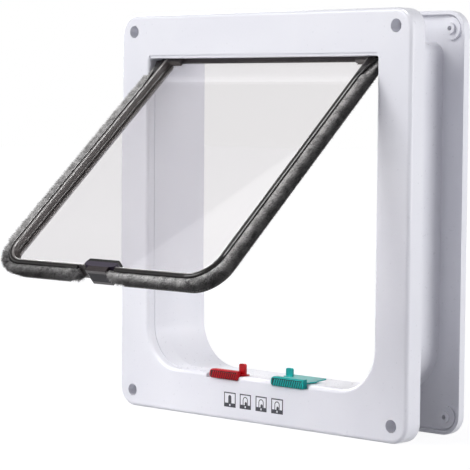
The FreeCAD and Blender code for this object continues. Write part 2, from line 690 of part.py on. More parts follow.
BACKING = [("web_half + seat_gap", "lip_inside_front + seat_gap"),
           ("web_half + seat_gap + backing", "lip_inside_front + seat_gap"),
           ("web_half + seat_gap + backing", "lip_inside_back - seat_gap"),
           ("web_half + seat_gap", "lip_inside_back - seat_gap")]
PILE = [("web_half + seat_gap + backing", "lip_inside_front + pile_gap"),
        ("flap_half + pile_gap", "lip_inside_front + pile_gap"),
        ("flap_half + pile_gap", "- flap_front + pile_tip / 3"),
        ("pile_half - pile_tip", "- flap_front + pile_tip / 6"),
        ("pile_half", "- flap_front + pile_tip"),
        ("pile_half - pile_slope", "lip_inside_back"),
        ("flap_half + rear_lip_extra + pile_gap", "lip_inside_back + rear_lip / 2"),
        ("flap_half + rear_lip_extra + pile_gap", "lip_inside_back - pile_gap"),
        ("web_half + seat_gap + backing", "lip_inside_back - pile_gap")]
for side, word in ((-1, "left"), (1, "right")):
    end = "pile_end_" + word
    hang(strip(word + "_pile_backing", side, end, BACKING))
    pile = strip(word + "_pile", side, end, PILE)
    trim = sketch_on(pile, word + "_trim_outline", "XZ_Plane", "- flap_front - 1")
    polygon(trim, [("- opening_half - 5", "- pile_drop - 5"), ("opening_half + 5", "- pile_drop - 5"),
                   ("opening_half + 5", "5"), ("- opening_half - 5", "5")])
    arch(trim, "pile_half", "- pile_drop", "0", "opening_corner - pile_side_gap", "1")
    pocket(pile, trim, "flap_front + flap_back + 2")
    edge = ("- pile_short_half", "0") if side < 0 else ("0", "pile_short_right")
    box(pile, word + "_grip_trim", (edge[0], "- flap_front - 1", "- pile_drop - 5"),
        (edge[1], "flap_back + 1", "- pile_short_drop"), cut=True)
    edge = ("- opening_half", "- flap_half + 1") if side < 0 else ("flap_half - 1", "opening_half")
    box(pile, word + "_ear_trim", (edge[0], "- flap_front - 1", "- ear_start - pile_gap"),
        (edge[1], "lip_inside_front + pile_gap", "0"), cut=True)
    hang(pile)

# Magnet holder clipped over the panel's lower edge, and its magnet.
holder = new_body("magnet_holder")
profile = sketch_on(holder, "holder_profile", "XZ_Plane", "- holder_front")
polygon(profile, [("- holder_half + holder_cut", "- holder_top"), ("holder_half", "- holder_top"),
                  ("holder_half", "- holder_shoulder + holder_slope"),
                  ("holder_foot_half", "- holder_shoulder"), ("holder_foot_half", "- holder_bottom"),
                  ("- holder_foot_half", "- holder_bottom"), ("- holder_foot_half", "- holder_shoulder"),
                  ("- holder_half", "- holder_shoulder + holder_slope"),
                  ("- holder_half", "- holder_top - holder_cut_height")])
pad(holder, profile, "holder_front + holder_back")
box(holder, "tongue_slot", ("- holder_half - 1", "- panel_front - seat_gap", "- tongue_floor"),
    ("holder_half + 1", "panel_back + seat_gap", "- holder_top + 1"), cut=True)
box(holder, "magnet_slot", ("- magnet_half - seat_gap", "- magnet_front - seat_gap", "- holder_bottom - 1"),
    ("magnet_half + seat_gap", "magnet_back + seat_gap",
     "- holder_bottom + magnet_height + seat_gap"), cut=True)
hang(holder)
magnet = new_body("flap_magnet")
box(magnet, "flap_magnet_bar", ("- magnet_half", "- magnet_front", "- holder_bottom"),
    ("magnet_half", "magnet_back", "- holder_bottom + magnet_height"))
hang(magnet)

# Sill magnet, pressed into its pocket under the sill.
strike = new_body("sill_magnet")
box(strike, "sill_magnet_bar", ("- sill_magnet_half", "sill_magnet_front", "- sleeve_low"),
    ("sill_magnet_half", "sill_magnet_back", "- sleeve_low + sill_magnet_height"))


def slider(name, word):
    """Grip with raised ribs, a plate on the sill, a stem through the slot, a hook and a lock tab."""
    body = new_body(name)
    grip_start, length, middle = word + "_grip_start", word + "_grip_length", word + "_middle"
    grip = sketch_on(body, word + "_grip_section", "YZ_Plane", grip_start)
    polygon(grip, [("- grip_front", "- grip_bottom"), ("grip_back", "- grip_bottom"),
                   ("grip_back", "- grip_top"), ("- grip_front + grip_lean + grip_bevel", "- grip_top"),
                   ("- grip_front + grip_lean", "- grip_top - grip_bevel_height")])
    pad(body, grip, length, reverse=False)
    doc.recompute()
    start = measure(grip_start)
    fillet(body, word + "_grip_soft_end", body.Tip,
           lambda b, e: near(b.XMin, start) and near(b.XMax, start) and b.YLength > 1.0, "grip_corner")
    tab = word + "_tab_start"
    if word == "exit":
        box(body, "exit_plate", (middle + " - stem_length", "grip_back - plate_lap", "- plate_under"),
            ("exit_tab_end", "stem_back + hook_reach", "- plate_top"))
    else:
        tail = sketch_on(body, "entry_tail_outline", "XY_Plane", "- plate_under")
        polygon(tail, [("entry_grip_start + grip_corner", "grip_back - plate_lap"),
                       ("tail_right", "grip_back - plate_lap"),
                       ("tail_right", "tail_slit_start"),
                       ("tail_right - tail_slit", "tail_slit_start + tail_slit / 2"),
                       ("tail_right - tail_slit", "tail_slit_start + tail_slit"),
                       ("tail_right", "tail_slit_start + 2 * tail_slit"),
                       ("tail_right", "tail_shoulder"),
                       ("tail_right - tail_nick", "tail_shoulder + tail_nick"),
                       ("tail_right - tail_nick - tail_taper", "tail_end"),
                       ("entry_tab_start - plate_margin", "tail_end"),
                       ("entry_tab_start - plate_margin", "entry_tab_front - plate_margin"),
                       ("entry_grip_start + grip_corner", "entry_tab_front - plate_margin")])
        pad(body, tail, "plate_thickness", reverse=False)
    box(body, word + "_stem", (middle + " - stem_length / 2", "stem_front", "- hook_under"),
        (middle + " + stem_length / 2", "stem_back", "- plate_under + plate_thickness / 2"))
    box(body, word + "_hook", (middle + " - stem_length / 2", "stem_front - hook_reach", "- hook_under"),
        (middle + " + stem_length / 2", "stem_back + hook_reach", "- hook_top"))
    box(body, word + "_tab", (tab, word + "_tab_front", "- plate_under + plate_thickness / 2"),
        (word + "_tab_end", word + "_tab_front + tab_thickness", "- " + word + "_tab_top"))
    doc.recompute()
    high = - measure(word + "_tab_top")
    fillet(body, word + "_tab_soft_top", body.Tip,
           lambda b, e: near(b.ZMin, high) and near(b.ZMax, high) and b.YLength > 1.0 and b.XLength < 0.1,
           "tab_round")
    rib = body.newObject("PartDesign::AdditiveBox", word + "_rib")
    rise = measure("grip_hang + grip_rise - grip_bevel_height")
    lean = math.degrees(math.atan2(SIZES["grip_lean"], rise))
    turn = FreeCAD.Rotation(FreeCAD.Vector(1, 0, 0), - lean)
    turn = turn.multiply(FreeCAD.Rotation(FreeCAD.Vector(0, 1, 0), SIZES["rib_tilt"]))
    rib.Placement = FreeCAD.Placement(FreeCAD.Vector(0, 0, 0), turn)
    rib.setExpression("Placement.Base.x", bound(grip_start + " + grip_corner"))
    rib.setExpression("Placement.Base.y", bound("- grip_front - rib_height / 2"))
    rib.setExpression("Placement.Base.z", bound("- grip_bottom + rib_inset"))
    rib.setExpression("Length", "sizes.rib_width")
    rib.setExpression("Width", "sizes.rib_height")
    rib.setExpression("Height", bound("grip_hang + grip_rise - grip_bevel_height - 2 * rib_inset"))
    doc.recompute()
    row = body.newObject("PartDesign::LinearPattern", word + "_ribs")
    row.Originals = [rib]
    row.Direction = (plane(body, "X_Axis"), [""])
    spaces = "floor((" + bound(length + " - grip_corner - rib_margin") + ") / sizes.rib_pitch)"
    row.setExpression("Occurrences", spaces + " + 1")
    row.setExpression("Length", "sizes.rib_pitch * " + spaces)
    body.Tip = row


slider("exit_slider", "exit")
slider("entry_slider", "entry")

# Every feature has to be sound before anything is written.
doc.recompute()
bodies = [item for item in doc.Objects if item.TypeId == "PartDesign::Body"]
for item in doc.Objects:
    if "Invalid" in item.State or "Error" in item.State:
        raise RuntimeError("%s did not build: %s" % (item.Label, item.State))
os.makedirs("parts", exist_ok=True)
for body in bodies:
    shape = body.Shape
    if shape.isNull() or not shape.isValid():
        raise RuntimeError("%s has no sound shape" % body.Label)
    shape.exportStep("parts/" + body.Label + ".step")
    print("%-20s %d solid(s) %10.1f mm3" % (body.Label, len(shape.Solids), shape.Volume))
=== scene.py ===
import math

import bmesh
import bpy
from mathutils import Matrix, Vector


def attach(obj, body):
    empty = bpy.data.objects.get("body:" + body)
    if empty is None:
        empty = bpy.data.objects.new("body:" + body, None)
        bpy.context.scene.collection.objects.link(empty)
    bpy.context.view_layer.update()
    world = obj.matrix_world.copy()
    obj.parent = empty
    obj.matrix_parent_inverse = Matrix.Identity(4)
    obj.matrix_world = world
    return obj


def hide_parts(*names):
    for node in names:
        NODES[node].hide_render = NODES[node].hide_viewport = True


# Cat flap: the frames, the clear flap, its rod, the magnet holder and the sliders are the packed
# solids with real finishes. The pile strips, their woven tapes and the printed pictograms are made
# here. Lengths are in millimetres, which MM turns to metres, apart from those of the lamps, the
# floor and the camera's clipping, which are in metres.

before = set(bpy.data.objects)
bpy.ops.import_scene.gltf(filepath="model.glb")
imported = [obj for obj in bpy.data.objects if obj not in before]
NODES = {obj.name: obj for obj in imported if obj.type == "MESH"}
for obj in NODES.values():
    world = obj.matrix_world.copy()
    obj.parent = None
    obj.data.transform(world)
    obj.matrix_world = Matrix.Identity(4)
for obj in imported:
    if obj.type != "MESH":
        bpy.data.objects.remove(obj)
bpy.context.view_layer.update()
MM = 0.001
SCENE = bpy.context.scene
SEED = 7
SIDES = {"left": -1, "right": 1}

# ---------------------------------------------------------------- sizes of the flap, hanging closed
# HINGE is a point of the rod's axis, measured from the part's origin. The rest is measured from
# that axis: across, back from it, and up, or down where it is named a drop.
HINGE = Vector((0, 13.0, 96.5))
OPEN_ANGLE = math.radians(48.5)
HINGE_BAR_DROP = 4.4
LUG_INNER, LUG_DROP = 71.45, 6.45
# The web in the rim that the tapes are glued to, and the channel's two sides
WEB_HALF, WEB_DROP, WEB_CORNER = 82.5, 185.65, 15.2
CHANNEL_FRONT, CHANNEL_BACK = -4.4, 3.5
# The rim's inner outline, and the clear panel in it: the middle of its thickness, how far from
# there it counts as panel, and how far inside the outline its clearness starts
INNER_HALF, INNER_DROP, INNER_CORNER = 81.0, 184.15, 13.7
PANEL_MIDDLE, PANEL_REACH, PANEL_INSET = -0.7, 1.36, 1.4
# The holder's painted shade along its top and at its foot, from where the colour starts to change
# to where it has changed
HOLDER_TOP, HOLDER_FOOT = (-182.6, -182.1), (-186.2, -185.8)
# The tapes and the pile: where they start below the rod, and stop beside the holder
PILE_TOP = 5.5
PILE_END = {"left": 17.6, "right": 14.2}
SEAT_GAP, TAPE_THICKNESS, TAPE_INSET = 0.05, 0.6, 0.12
TAPE_CUT_DOWN, TAPE_CUT_IN = 0.15, 0.3

# The sliders' grips, measured from the part's origin: the plane between their ribs, which leans
# back as it rises, how near it counts as groove, and how far before it a rib's crest starts
GRIP_FRONT, GRIP_LOW, GRIP_TOP, GRIP_LEAN = -1.5, -99.7, -95.2, 0.7 / 4.6
GROOVE_REACH, CREST_STAND = 0.07, 0.5


def from_flap(x, y, z):
    """A point given as on the closed flap, in mm from the hinge, turned to the open flap."""
    c, s = math.cos(OPEN_ANGLE), math.sin(OPEN_ANGLE)
    return Vector((x, HINGE.y + y * c + z * s, HINGE.z - y * s + z * c)) * MM


# ---------------------------------------------------------------- colours and nodes
MATH, MAP, MIX = "ShaderNodeMath", "ShaderNodeMapRange", "ShaderNodeMix"
NOISE, BUMP, SPLIT = "ShaderNodeTexNoise", "ShaderNodeBump", "ShaderNodeSeparateXYZ"
# A Mix node's sockets for colours and for directions, by number because their names repeat
MIX_BY, MIX_FROM, MIX_TO, MIXED = 0, 6, 7, 2
AIM_FROM, AIM_TO, AIMED = 4, 5, 1
# Noise lies mostly between these, which are stretched to 0 and 1
NOISE_LOW, NOISE_HIGH = 0.3, 0.7


def linear(text):
    """An sRGB hex colour as linear numbers."""
    parts = [int(text[i:i + 2], 16) / 255 for i in (1, 3, 5)]
    return [p / 12.92 if p <= 0.04045 else ((p + 0.055) / 1.055) ** 2.4 for p in parts] + [1.0]


def feed(tree, node, inputs):
    """Give each named input of a node a number, a colour or another node's output."""
    for key, value in inputs.items():
        if isinstance(value, bpy.types.NodeSocket):
            tree.links.new(value, node.inputs[key])
        else:
            node.inputs[key].default_value = value


def add(tree, kind, settings=None, inputs=None):
    """Add one node with its settings and inputs."""
    made = tree.nodes.new(kind)
    for key, value in (settings or {}).items():
        setattr(made, key, value)
    feed(tree, made, inputs or {})
    return made


def start_material(name):
    """A new material: itself, its tree, its surface shader and the object's coordinates."""
    material = bpy.data.materials.new(name)
    material.use_nodes = True
    tree = material.node_tree
    where = add(tree, "ShaderNodeTexCoord").outputs["Object"]
    return material, tree, tree.nodes["Principled BSDF"], where


def moulded_plastic(name, dark, light, roughness, grain, rise, ior=1.54, specular=0.5):
    """Injection-moulded plastic: an even colour that drifts a little over some 45 mm, and a faint
    orange peel in the gloss, whose grain and rise are in mm."""
    material, tree, shader, where = start_material(name)
    drift = add(tree, NOISE, None, {"Vector": where, "Scale": 1 / (45 * MM), "Detail": 2.0})
    share = add(tree, MAP, None, {"Value": drift.outputs["Fac"],
                                  "From Min": NOISE_LOW, "From Max": NOISE_HIGH})
    colour = add(tree, MIX, {"data_type": "RGBA"},
                 {MIX_BY: share.outputs[0], MIX_FROM: linear(dark), MIX_TO: linear(light)})
    peel = add(tree, NOISE, None, {"Vector": where, "Scale": 1 / (grain * MM), "Detail": 3.0})
    gloss = add(tree, MAP, None,
                {"Value": peel.outputs["Fac"], "From Min": NOISE_LOW, "From Max": NOISE_HIGH,
                 "To Min": roughness - 0.03, "To Max": roughness + 0.04})
    bump = add(tree, BUMP, None,
               {"Height": peel.outputs["Fac"], "Strength": 0.35, "Distance": rise * MM})
    feed(tree, shader, {"Base Color": colour.outputs[MIXED], "Roughness": gloss.outputs[0],
                        "Normal": bump.outputs[0], "IOR": ior, "Specular IOR Level": specular})
    return material


def on_flap(tree, where):
    """The place on the closed flap, as X, Y and Z outputs."""
    place = add(tree, "ShaderNodeMapping", {"vector_type": "TEXTURE"},
                {"Vector": where, "Location": HINGE * MM, "Rotation": (-OPEN_ANGLE, 0, 0)})
    return add(tree, SPLIT, None, {0: place.outputs[0]}).outputs


def smoke_rimmed_acrylic():
    """Acrylic flap moulded in one piece and polished: a clear panel with a faint smoke tint, and a
    rim, hinge bar and lugs in dense dark smoke, which look nearly black with a sharp gloss. A light
    grey band along the lip's inner edge is a painted highlight, and the rim's inner wall is painted
    lighter as painted light."""
    material, tree, shader, where = start_material("smoke_acrylic_moulded")
    spot = on_flap(tree, where)
    across = add(tree, MATH, {"operation": "ABSOLUTE"}, {0: spot["X"]}).outputs[0]

    # How far outward from the centre of the rim's rounded corner: on the rim's inner outline this
    # is INNER_CORNER all the way round.
    squares = []
    for first, second in ((across, (INNER_HALF - INNER_CORNER) * MM),
                          ((INNER_CORNER - INNER_DROP) * MM, spot["Z"])):
        past = add(tree, MATH, {"operation": "SUBTRACT"}, {0: first, 1: second}).outputs[0]
        past = add(tree, MATH, {"operation": "MAXIMUM"}, {0: past, 1: 0.0}).outputs[0]
        squares.append(add(tree, MATH, {"operation": "MULTIPLY"}, {0: past, 1: past}).outputs[0])
    total = add(tree, MATH, {"operation": "ADD"}, {0: squares[0], 1: squares[1]}).outputs[0]
    away = add(tree, MATH, {"operation": "SQRT"}, {0: total}).outputs[0]

    # The clear panel: inside the rim, under the hinge bar, as thin as the panel, and not a lug
    inside = add(tree, MATH, {"operation": "LESS_THAN"},
                 {0: away, 1: (INNER_CORNER - PANEL_INSET) * MM}).outputs[0]
    under = add(tree, MATH, {"operation": "LESS_THAN"},
                {0: spot["Z"], 1: -HINGE_BAR_DROP * MM}).outputs[0]
    flat = add(tree, MATH, {"operation": "COMPARE"},
               {0: spot["Y"], 1: PANEL_MIDDLE * MM, 2: PANEL_REACH * MM}).outputs[0]
    outer = add(tree, MATH, {"operation": "GREATER_THAN"},
                {0: across, 1: LUG_INNER * MM}).outputs[0]
    upper = add(tree, MATH, {"operation": "GREATER_THAN"},
                {0: spot["Z"], 1: -LUG_DROP * MM}).outputs[0]
    lug = add(tree, MATH, {"operation": "MULTIPLY"}, {0: outer, 1: upper}).outputs[0]
    clear = add(tree, MATH, {"operation": "SUBTRACT"}, {0: 1.0, 1: lug}).outputs[0]
    for mask in (inside, under, flat):
        clear = add(tree, MATH, {"operation": "MULTIPLY"}, {0: clear, 1: mask}).outputs[0]

    streak = add(tree, NOISE, None, {"Vector": where, "Scale": 1 / (5 * MM), "Detail": 3.0})
    share = add(tree, MAP, None, {"Value": streak.outputs["Fac"],
                                  "From Min": NOISE_LOW, "From Max": NOISE_HIGH}).outputs[0]
    # thick is the rim's own dark smoke; thin is a light grey painted on the lip's inner edge as a
    # painted highlight.
    thick, thin = (add(tree, MIX, {"data_type": "RGBA"},
                       {MIX_BY: share, MIX_FROM: linear(a), MIX_TO: linear(b)}).outputs[MIXED]
                   for a, b in (("#171413", "#1e1a19"), ("#888482", "#908c8a")))
    # The rim shows its own dark smoke outward of the painted highlight band along the lip's inner
    # edge, and the inner wall is painted a lighter grey as painted light, where the lamps bring
    # little light.
    outward = add(tree, MAP, None, {"Value": away, "From Min": (INNER_CORNER + 0.9) * MM,
                                    "From Max": (INNER_CORNER + 1.9) * MM}).outputs[0]
    painted_light_wall = add(tree, MAP, None, {"Value": away, "From Min": (INNER_CORNER + 0.1) * MM,
                                 "From Max": (INNER_CORNER + 0.4) * MM,
                                 "To Min": 1.0, "To Max": 0.0}).outputs[0]
    colour = thin
    for amount, over in ((outward, thick), (painted_light_wall, linear("#625d5b")), (clear, linear("#f4f2f3"))):
        colour = add(tree, MIX, {"data_type": "RGBA"},
                     {MIX_BY: amount, MIX_FROM: colour, MIX_TO: over}).outputs[MIXED]
    gloss = add(tree, MAP, None, {"Value": clear, "To Min": 0.09, "To Max": 0.02})

    # The panel is a little wavy, and the rim's edges are rounded.
    wave = add(tree, NOISE, None, {"Vector": where, "Scale": 1 / (25 * MM), "Detail": 0.0})
    wavy = add(tree, BUMP, None,
               {"Height": wave.outputs["Fac"], "Strength": 0.15, "Distance": 0.05 * MM})
    rounded = add(tree, "ShaderNodeBevel", {"samples": 6}, {"Radius": 1.0 * MM})
    normal = add(tree, MIX, {"data_type": "VECTOR"},
                 {MIX_BY: clear, AIM_FROM: rounded.outputs[0], AIM_TO: wavy.outputs[0]})
    feed(tree, shader, {"Base Color": colour, "Transmission Weight": clear,
                        "Roughness": gloss.outputs[0], "Normal": normal.outputs[AIMED],
                        "IOR": 1.49, "Specular IOR Level": 0.35})

    # The lamps shine through the clear panel on to the frame.
    shadow = add(tree, "ShaderNodeLightPath").outputs["Is Shadow Ray"]
    let_through = add(tree, MATH, {"operation": "MULTIPLY"}, {0: shadow, 1: clear})
    gap = add(tree, "ShaderNodeBsdfTransparent", None, {"Color": linear("#c8c7c7")})
    both = add(tree, "ShaderNodeMixShader", None,
               {0: let_through.outputs[0], 1: shader.outputs[0], 2: gap.outputs[0]})
    feed(tree, tree.nodes["Material Output"], {"Surface": both.outputs[0]})
    return material


def blackened_steel():
    """Drawn steel rod, chemically blackened: dark, half dull, with fine lines along its length."""
    material, tree, shader, where = start_material("blackened_steel_rod")
    along = add(tree, "ShaderNodeMapping", None, {"Vector": where, "Scale": (0.04, 1, 1)})
    lines = add(tree, NOISE, None, {"Vector": along.outputs[0], "Scale": 1 / (0.3 * MM),
                                    "Detail": 2.0}).outputs["Fac"]
    colour = add(tree, MIX, {"data_type": "RGBA"},
                 {MIX_BY: lines, MIX_FROM: linear("#353230"), MIX_TO: linear("#4c4845")})
    gloss = add(tree, MAP, None, {"Value": lines, "From Min": NOISE_LOW, "From Max": NOISE_HIGH,
                                  "To Min": 0.32, "To Max": 0.45})
    feed(tree, shader, {"Base Color": colour.outputs[MIXED], "Roughness": gloss.outputs[0],
                        "Metallic": 1.0})
    return material


def sintered_ferrite():
    """Sintered ferrite magnet: dark grey, dull, with a fine pressed grain."""
    material, tree, shader, where = start_material("sintered_ferrite")
    grain = add(tree, NOISE, None, {"Vector": where, "Scale": 1 / (0.4 * MM),
                                    "Detail": 4.0}).outputs["Fac"]
    colour = add(tree, MIX, {"data_type": "RGBA"},
                 {MIX_BY: grain, MIX_FROM: linear("#242326"), MIX_TO: linear("#3b3a3d")})
    bump = add(tree, BUMP, None, {"Height": grain, "Strength": 0.5, "Distance": 0.05 * MM})
    feed(tree, shader, {"Base Color": colour.outputs[MIXED], "Normal": bump.outputs[0],
                        "Roughness": 0.7, "Metallic": 0.3})
    return material


def woven_tape():
    """Black polypropylene tape, plain woven: small over-and-under bumps of 0.6 mm threads."""
    material, tree, shader, where = start_material("woven_polypropylene_tape")
    run = add(tree, "ShaderNodeUVMap", {"uv_map": "run"}).outputs[0]
    weave = add(tree, "ShaderNodeTexVoronoi", {"feature": "SMOOTH_F1"},
                {"Vector": run, "Scale": 1 / 0.6, "Randomness": 0.15}).outputs["Distance"]
    wide = add(tree, NOISE, None, {"Vector": where, "Scale": 1 / (6 * MM), "Detail": 3.0})
    tone = add(tree, MATH, {"operation": "MULTIPLY"}, {0: weave, 1: wide.outputs["Fac"]})
    share = add(tree, MAP, None, {"Value": tone.outputs[0], "From Min": 0.1, "From Max": 0.5})
    colour = add(tree, MIX, {"data_type": "RGBA"},
                 {MIX_BY: share.outputs[0], MIX_FROM: linear("#4b4644"),
                  MIX_TO: linear("#262322")})
    bump = add(tree, BUMP, {"invert": True},
               {"Height": weave, "Strength": 0.8, "Distance": 0.15 * MM})
    feed(tree, shader, {"Base Color": colour.outputs[MIXED], "Normal": bump.outputs[0],
                        "Roughness": 0.6})
    return material


def nylon_pile(name, root, tip, root_share, tip_share):
    """Standing nylon pile: hair-fine fibres, drawn 0.3 mm thick so that they show, grey towards the
    tip with painted shade darkening them towards the root, lightened and darkened by the stored
    shade as painted light and shade, in patches of some 4 mm and strands of 0.7 mm."""
    material, tree, shader, where = start_material(name)
    run = add(tree, "ShaderNodeUVMap", {"uv_map": "run"}).outputs[0]
    rise = add(tree, SPLIT, None, {0: run}).outputs["Y"]
    shade = add(tree, "ShaderNodeAttribute", {"attribute_name": "shade"}).outputs["Fac"]
    patches = add(tree, NOISE, None, {"Vector": where, "Scale": 1 / (4 * MM), "Detail": 3.0})
    strands = add(tree, NOISE, None, {"Vector": where, "Scale": 1 / (0.7 * MM), "Detail": 2.0})
    weaker = add(tree, MATH, {"operation": "MULTIPLY"}, {0: patches.outputs["Fac"], 1: 0.8})
    both = add(tree, MATH, {"operation": "ADD"},
               {0: weaker.outputs[0], 1: strands.outputs["Fac"]})
    mottle = add(tree, MAP, None, {"Value": both.outputs[0], "From Min": 0.75, "From Max": 1.05,
                                   "To Min": 0.35, "To Max": 1.6})
    # Painted shade darkens the fibres towards the root, and the stored shade paints light and
    # shade.
    tall = add(tree, MAP, None, {"Value": rise, "To Min": root_share, "To Max": tip_share})
    lit = add(tree, MATH, {"operation": "MULTIPLY"}, {0: tall.outputs[0], 1: shade})
    amount = add(tree, MATH, {"operation": "MULTIPLY", "use_clamp": True},
                 {0: lit.outputs[0], 1: mottle.outputs[0]})
    colour = add(tree, MIX, {"data_type": "RGBA"},
                 {MIX_BY: amount.outputs[0], MIX_FROM: linear(root), MIX_TO: linear(tip)})
    feed(tree, shader, {"Base Color": colour.outputs[MIXED], "Roughness": 0.6,
                        "Sheen Weight": 0.15, "Sheen Roughness": 0.4})
    return material


def ribbed_grip(name, dark, light, painted_groove_shade, painted_crest_highlight, left_end, right_end):
    """Moulded slider: strong even colour, half gloss, with painted shade between the raised ribs of
    its grip, which run from one end to the other, and a painted highlight on their crests."""
    material = moulded_plastic(name, dark, light, 0.32, 1.2, 0.01, specular=0.25)
    tree = material.node_tree
    shader = tree.nodes["Principled BSDF"]
    where = add(tree, "ShaderNodeTexCoord").outputs["Object"]
    spot = add(tree, SPLIT, None, {0: where}).outputs
    # How far behind the grip's leaning front
    rise = add(tree, MATH, {"operation": "SUBTRACT"}, {0: spot["Z"], 1: GRIP_LOW * MM})
    slant = add(tree, MATH, {"operation": "MULTIPLY"}, {0: rise.outputs[0], 1: GRIP_LEAN})
    front = add(tree, MATH, {"operation": "ADD"}, {0: slant.outputs[0], 1: GRIP_FRONT * MM})
    behind = add(tree, MATH, {"operation": "SUBTRACT"},
                 {0: spot["Y"], 1: front.outputs[0]}).outputs[0]
    # The grip's own stretch of the slider
    below = add(tree, MATH, {"operation": "LESS_THAN"}, {0: spot["Z"], 1: GRIP_TOP * MM})
    within = add(tree, MATH, {"operation": "COMPARE"},
                 {0: spot["X"], 1: (left_end + right_end) / 2 * MM,
                  2: (right_end - left_end) / 2 * MM})
    grip = add(tree, MATH, {"operation": "MULTIPLY"},
               {0: below.outputs[0], 1: within.outputs[0]}).outputs[0]
    proud = add(tree, MATH, {"operation": "LESS_THAN"}, {0: behind, 1: -CREST_STAND * MM})
    level = add(tree, MATH, {"operation": "COMPARE"}, {0: behind, 1: 0.0, 2: GROOVE_REACH * MM})
    colour = shader.inputs["Base Color"].links[0].from_socket
    # A painted highlight on the ribs' crests and painted shade in the grooves between them
    for mask, over in ((proud, painted_crest_highlight), (level, painted_groove_shade)):
        amount = add(tree, MATH, {"operation": "MULTIPLY"}, {0: mask.outputs[0], 1: grip})
        colour = add(tree, MIX, {"data_type": "RGBA"},
                     {MIX_BY: amount.outputs[0], MIX_FROM: colour,
                      MIX_TO: linear(over)}).outputs[MIXED]
    feed(tree, shader, {"Base Color": colour})
    return material


def smoke_holder():
    """Smoke-tinted polycarbonate clip, purple-grey in front, with painted shade that makes it
    nearly black along its top and reddish dark below."""
    material = moulded_plastic("smoke_polycarbonate_moulded", "#373040", "#453d4c",
                               0.16, 2.0, 0.02, ior=1.58)
    tree = material.node_tree
    shader = tree.nodes["Principled BSDF"]
    height = on_flap(tree, add(tree, "ShaderNodeTexCoord").outputs["Object"])["Z"]
    colour = shader.inputs["Base Color"].links[0].from_socket
    # Painted shade: nearly black along the top, reddish dark at the foot
    for (low_end, high_end), at_low, at_high, over in ((HOLDER_TOP, 0.0, 1.0, "#0c0b0c"),
                                                       (HOLDER_FOOT, 1.0, 0.0, "#2a2023")):
        amount = add(tree, MAP, None, {"Value": height, "From Min": low_end * MM,
                                       "From Max": high_end * MM, "To Min": at_low,
                                       "To Max": at_high})
        colour = add(tree, MIX, {"data_type": "RGBA"},
                     {MIX_BY: amount.outputs[0], MIX_FROM: colour,
                      MIX_TO: linear(over)}).outputs[MIXED]
    feed(tree, shader, {"Base Color": colour})
    return material


def printed_ink(name, dark, light):
    """Pad-printed ink, thin and half matt, with the small unevenness of the print."""
    material, tree, shader, where = start_material(name)
    speck = add(tree, NOISE, None, {"Vector": where, "Scale": 1 / (0.5 * MM), "Detail": 2.0})
    colour = add(tree, MIX, {"data_type": "RGBA"},
                 {MIX_BY: speck.outputs["Fac"], MIX_FROM: linear(dark), MIX_TO: linear(light)})
    feed(tree, shader, {"Base Color": colour.outputs[MIXED], "Roughness": 0.45})
    return material


WHITE = moulded_plastic("white_abs_satin_moulded", "#e6e6ec", "#eaeaef", 0.3, 2.4, 0.006)
CLEAR = smoke_rimmed_acrylic()
STEEL = blackened_steel()
FERRITE = sintered_ferrite()
SMOKE = smoke_holder()
# Each grip's groove colour is painted shade, and its crest colour is a painted highlight.
RED = ribbed_grip("red_abs_moulded", "#a40410", "#b40a1a", painted_groove_shade="#2c0003", painted_crest_highlight="#e03c48",
                  left_end=-35.9, right_end=-14.4)
TEAL = ribbed_grip("teal_abs_moulded", "#009a96", "#04a6a2", painted_groove_shade="#002c2e", painted_crest_highlight="#3cd8d0",
                   left_end=15.1, right_end=39.1)
TAPE = woven_tape()
PILE = nylon_pile("nylon_pile_fibres", "#262322", "#dddbd9", 0.5, 1.0)
PILE_BED = nylon_pile("nylon_pile_bed", "#181615", "#b0aeac", 0.6, 0.6)
INK_DARK = printed_ink("grey_black_print", "#2c2c34", "#3a3a42")
INK_LIGHT = printed_ink("white_print", "#e4e4e8", "#f2f2f6")

FINISHES = {
    "front_frame": WHITE, "rear_frame": WHITE, "flap_panel": CLEAR, "hinge_rod": STEEL,
    "magnet_holder": SMOKE, "flap_magnet": FERRITE, "sill_magnet": FERRITE,
    "exit_slider": RED, "entry_slider": TEAL,
}
for name, finish in FINISHES.items():
    solid = NODES[name]
    if not solid.material_slots:
        solid.data.materials.append(finish)
    for place in solid.material_slots:
        place.material = finish

# ---------------------------------------------------------------- pile strips
SIDE_RUN = WEB_DROP - WEB_CORNER - PILE_TOP
CORNER_RUN = WEB_CORNER * math.pi / 2
TAPE_STEP, BED_STEP = 0.8, 0.5
# About the length round a strip's section, so that its UV map is in mm both ways
GIRTH = 20


def run_points(word, step, overhang=0.0):
    """Spots down the side, round the corner and along the bottom, as (x, z, out x, out z, length
    so far)."""
    side = SIDES[word]
    centre_x, centre_z = WEB_HALF - WEB_CORNER, -(WEB_DROP - WEB_CORNER)
    total = SIDE_RUN + CORNER_RUN + centre_x - PILE_END[word] + overhang
    count = int(round(total / step))
    for i in range(count + 1):
        at = total * i / count
        if at <= SIDE_RUN:
            yield side * WEB_HALF, -PILE_TOP - at, side, 0.0, at
        elif at <= SIDE_RUN + CORNER_RUN:
            angle = (at - SIDE_RUN) / WEB_CORNER
            out_x, out_z = math.cos(angle), -math.sin(angle)
            yield (side * (centre_x + WEB_CORNER * out_x), centre_z + WEB_CORNER * out_z,
                   side * out_x, out_z, at)
        else:
            past = at - SIDE_RUN - CORNER_RUN
            yield side * (centre_x - past), -WEB_DROP, 0.0, -1.0, at


